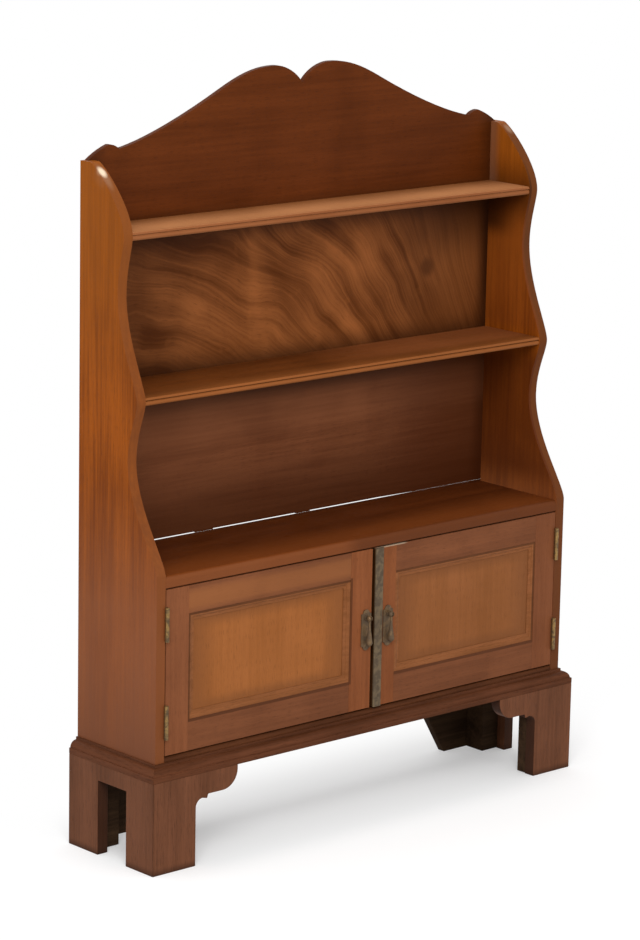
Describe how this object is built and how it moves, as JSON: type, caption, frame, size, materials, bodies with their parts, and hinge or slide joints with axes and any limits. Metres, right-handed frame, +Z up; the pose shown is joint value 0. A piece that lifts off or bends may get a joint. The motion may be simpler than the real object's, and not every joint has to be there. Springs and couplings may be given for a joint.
{
  "type": "cupboard bookcase",
  "caption": "Dwarf bookcase with serpentine sides, shaped crest and open shelves over a cupboard with panelled doors, on a moulded base with bracket feet.",
  "frame": {"origin": "middle of the base on the floor", "axes": "+Z up, -Y towards the front of the doors, +X to the right seen from the front"},
  "size_m": [0.81, 0.186, 1.07],
  "materials": {
    "mahogany_sides": "waxed mahogany, upright grain",
    "mahogany_shelves": "waxed mahogany, grain along the shelf",
    "mahogany_back": "waxed figured mahogany",
    "mahogany_base": "waxed darker mahogany",
    "mahogany_door_frames": "waxed mahogany",
    "mahogany_door_panels": "waxed lighter mahogany",
    "pine_inside": "dark stained softwood",
    "brass_fittings": "aged brass",
    "brass_pulls": "dark tarnished brass",
    "brass_strip": "tarnished brass with rubbed edges"
  },
  "bodies": {
    "carcase": {"left_side": "mahogany_sides", "right_side": "mahogany_sides", "top_shelf": "mahogany_shelves", "middle_shelf": "mahogany_shelves", "cupboard_top": "mahogany_shelves", "cupboard_floor": "mahogany_shelves", "back_crest_board": "mahogany_back", "back_upper_board": "mahogany_back", "back_lower_board": "mahogany_back", "cupboard_back_board": "mahogany_back", "base_front_rail": "mahogany_base", "base_left_rail": "mahogany_base", "base_right_rail": "mahogany_base", "front_left_bracket": "mahogany_base", "front_right_bracket": "mahogany_base", "left_side_bracket": "mahogany_base", "right_side_bracket": "mahogany_base", "base_rear_rail": "pine_inside", "rear_left_bracket": "pine_inside", "rear_right_bracket": "pine_inside", "front_foot_blocks": "pine_inside", "rear_foot_blocks": "pine_inside", "door_stops": "pine_inside", "hinge_case_leaves": "brass_fittings", "hinge_pins": "brass_fittings", "hinge_case_screws": "brass_fittings", "bolt_keeper": "brass_fittings", "catch_clip": "brass_fittings"},
    "left_door": {"left_door_hinge_stile": "mahogany_door_frames", "left_door_meeting_stile": "mahogany_door_frames", "left_door_top_rail": "mahogany_door_frames", "left_door_bottom_rail": "mahogany_door_frames", "left_door_mouldings": "mahogany_door_frames", "left_door_panel": "mahogany_door_panels", "left_door_hinge_leaves": "brass_fittings", "left_door_hinge_screws": "brass_fittings", "left_pull_plate": "brass_pulls", "left_pull_stud": "brass_pulls", "left_pull_pin": "brass_pulls", "left_pull_nut": "brass_fittings", "bolt_plate": "brass_fittings"},
    "left_pull": {"left_pull_drop": "brass_pulls"},
    "bolt": {"door_bolt": "brass_fittings"},
    "right_door": {"right_door_hinge_stile": "mahogany_door_frames", "right_door_meeting_stile": "mahogany_door_frames", "right_door_top_rail": "mahogany_door_frames", "right_door_bottom_rail": "mahogany_door_frames", "right_door_mouldings": "mahogany_door_frames", "right_door_panel": "mahogany_door_panels", "right_door_hinge_leaves": "brass_fittings", "right_door_hinge_screws": "brass_fittings", "right_pull_plate": "brass_pulls", "right_pull_stud": "brass_pulls", "right_pull_pin": "brass_pulls", "right_pull_nut": "brass_fittings", "brass_strip": "brass_strip", "catch_tongue": "brass_fittings"},
    "right_pull": {"right_pull_drop": "brass_pulls"}
  },
  "joints": [
    {"name": "left_door_hinge", "type": "hinge", "parent": "carcase", "child": "left_door", "pos_m": [-0.37375, -0.0812, 0.28], "axis": [0, 0, -1], "range_deg": [0, 170]},
    {"name": "right_door_hinge", "type": "hinge", "parent": "carcase", "child": "right_door", "pos_m": [0.37375, -0.0812, 0.28], "axis": [0, 0, 1], "range_deg": [0, 170]},
    {"name": "left_pull_swing", "type": "hinge", "parent": "left_door", "child": "left_pull", "pos_m": [-0.00575, -0.0862, 0.298], "axis": [-1, 0, 0], "range_deg": [0, 90]},
    {"name": "right_pull_swing", "type": "hinge", "parent": "right_door", "child": "right_pull", "pos_m": [0.03625, -0.0862, 0.298], "axis": [-1, 0, 0], "range_deg": [0, 90]},
    {"name": "bolt_slide", "type": "slide", "parent": "left_door", "child": "bolt", "axis": [0, 0, 1], "range_m": [0, 0.011]}
  ]
}
